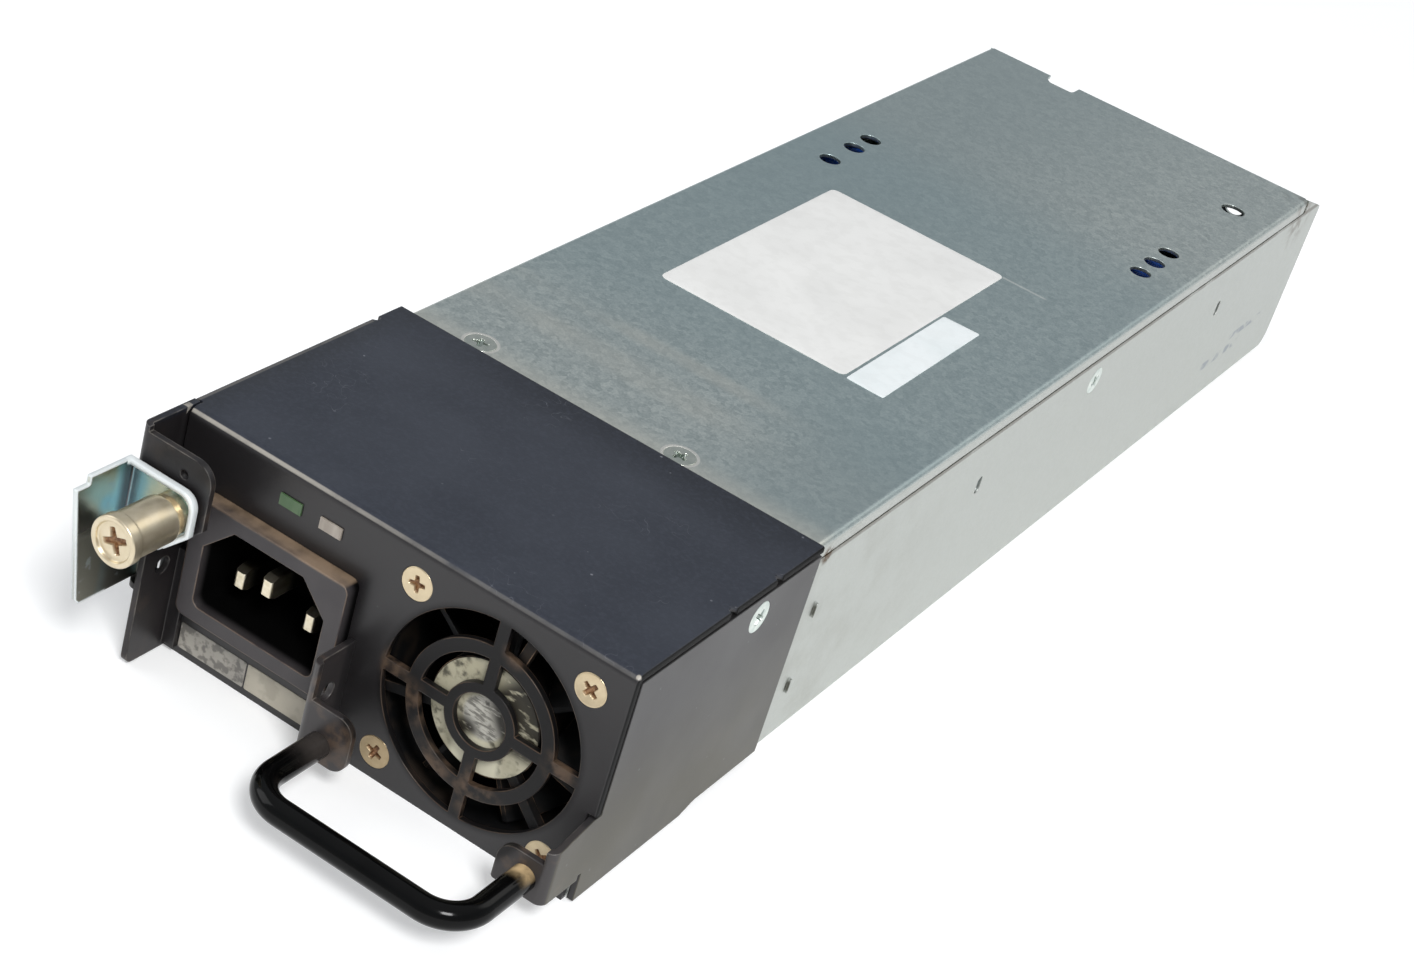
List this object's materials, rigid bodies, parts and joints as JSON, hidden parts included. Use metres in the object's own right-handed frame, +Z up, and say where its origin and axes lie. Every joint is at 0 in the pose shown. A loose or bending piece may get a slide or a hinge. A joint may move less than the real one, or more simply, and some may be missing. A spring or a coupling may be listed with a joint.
{
  "type": "switching power supply",
  "caption": "Long flat hot-swap power supply: galvanised case, black front with mains inlet, fan grille, rod handle and ejector lever, output connector at the rear.",
  "frame": {"origin": "middle of the underside, in the plane of the faceplate's outer surface", "axes": "+Z up, +Y from the faceplate to the rear, the way the module slides in, +X to the right seen from the front"},
  "size_m": [0.0882, 0.3235, 0.0431],
  "materials": {
    "galvanised": "spangled zinc, satin",
    "black_coat": "fine powder coat, satin",
    "black_rod": "gloss",
    "zinc": "bright zinc, satin",
    "nickel": "worn nickel",
    "fan_plastic": "moulded",
    "inlet_plastic": "moulded, satin",
    "gilt": "bright",
    "lens_green": "translucent",
    "lens_clear": "translucent",
    "film": "film",
    "circuit_board": "laminate",
    "lead_sleeve": "extruded",
    "copper": "enamelled wire",
    "ferrite": "sintered",
    "heatsink": "extruded",
    "epoxy": "moulded",
    "box_case": "moulded",
    "can_sleeve": "shrunk sleeve"
  },
  "bodies": {
    "case": {"base_tray": "galvanised", "board_screws": "nickel", "boost_choke_core": "ferrite", "boost_choke_winding": "copper", "bridge_rectifier": "epoxy", "bulk_capacitors": "can_sleeve", "control_board": "circuit_board", "cover_brace": "galvanised", "cover_screws": "zinc", "fan_frame": "fan_plastic", "fan_lead": "lead_sleeve", "fan_motor": "copper", "fan_screws": "nickel", "filter_choke": "copper", "front_cover": "black_coat", "handle": "black_rod", "handle_bracket": "black_coat", "inlet_housing": "inlet_plastic", "inlet_leads": "lead_sleeve", "inlet_pins": "gilt", "insulator_sheet": "film", "left_heatsink": "heatsink", "left_side_plate": "black_coat", "lever_bracket": "black_coat", "lever_pin": "nickel", "main_board": "circuit_board", "output_capacitors": "can_sleeve", "output_connector": "epoxy", "output_contacts": "gilt", "power_transistors": "epoxy", "rear_panel": "galvanised", "right_heatsink": "heatsink", "right_side_plate": "black_coat", "side_screws": "zinc", "standoffs": "zinc", "status_lens_input": "lens_green", "status_lens_output": "lens_clear", "top_cover": "galvanised", "transformer_core": "ferrite", "transformer_winding": "copper", "x_capacitor": "box_case"},
    "fan_rotor": {"fan_rotor": "fan_plastic"},
    "lever": {"ejector_lever": "zinc", "captive_ferrule": "nickel"},
    "captive_screw": {"captive_screw": "nickel"}
  },
  "joints": [
    {"name": "fan_spin", "type": "hinge", "parent": "case", "child": "fan_rotor", "pos_m": [0.02025, 0.0117, 0.0208], "axis": [0, 1, 0], "continuous": true},
    {"name": "lever_swing", "type": "hinge", "parent": "case", "child": "lever", "pos_m": [-0.04145, -0.0035, 0.018], "axis": [0, 0, -1], "range_deg": [0, 70]},
    {"name": "screw_push", "type": "slide", "parent": "lever", "child": "captive_screw", "axis": [0, 1, 0], "range_m": [0, 0.0012], "stiffness_N_per_m": 300}
  ]
}
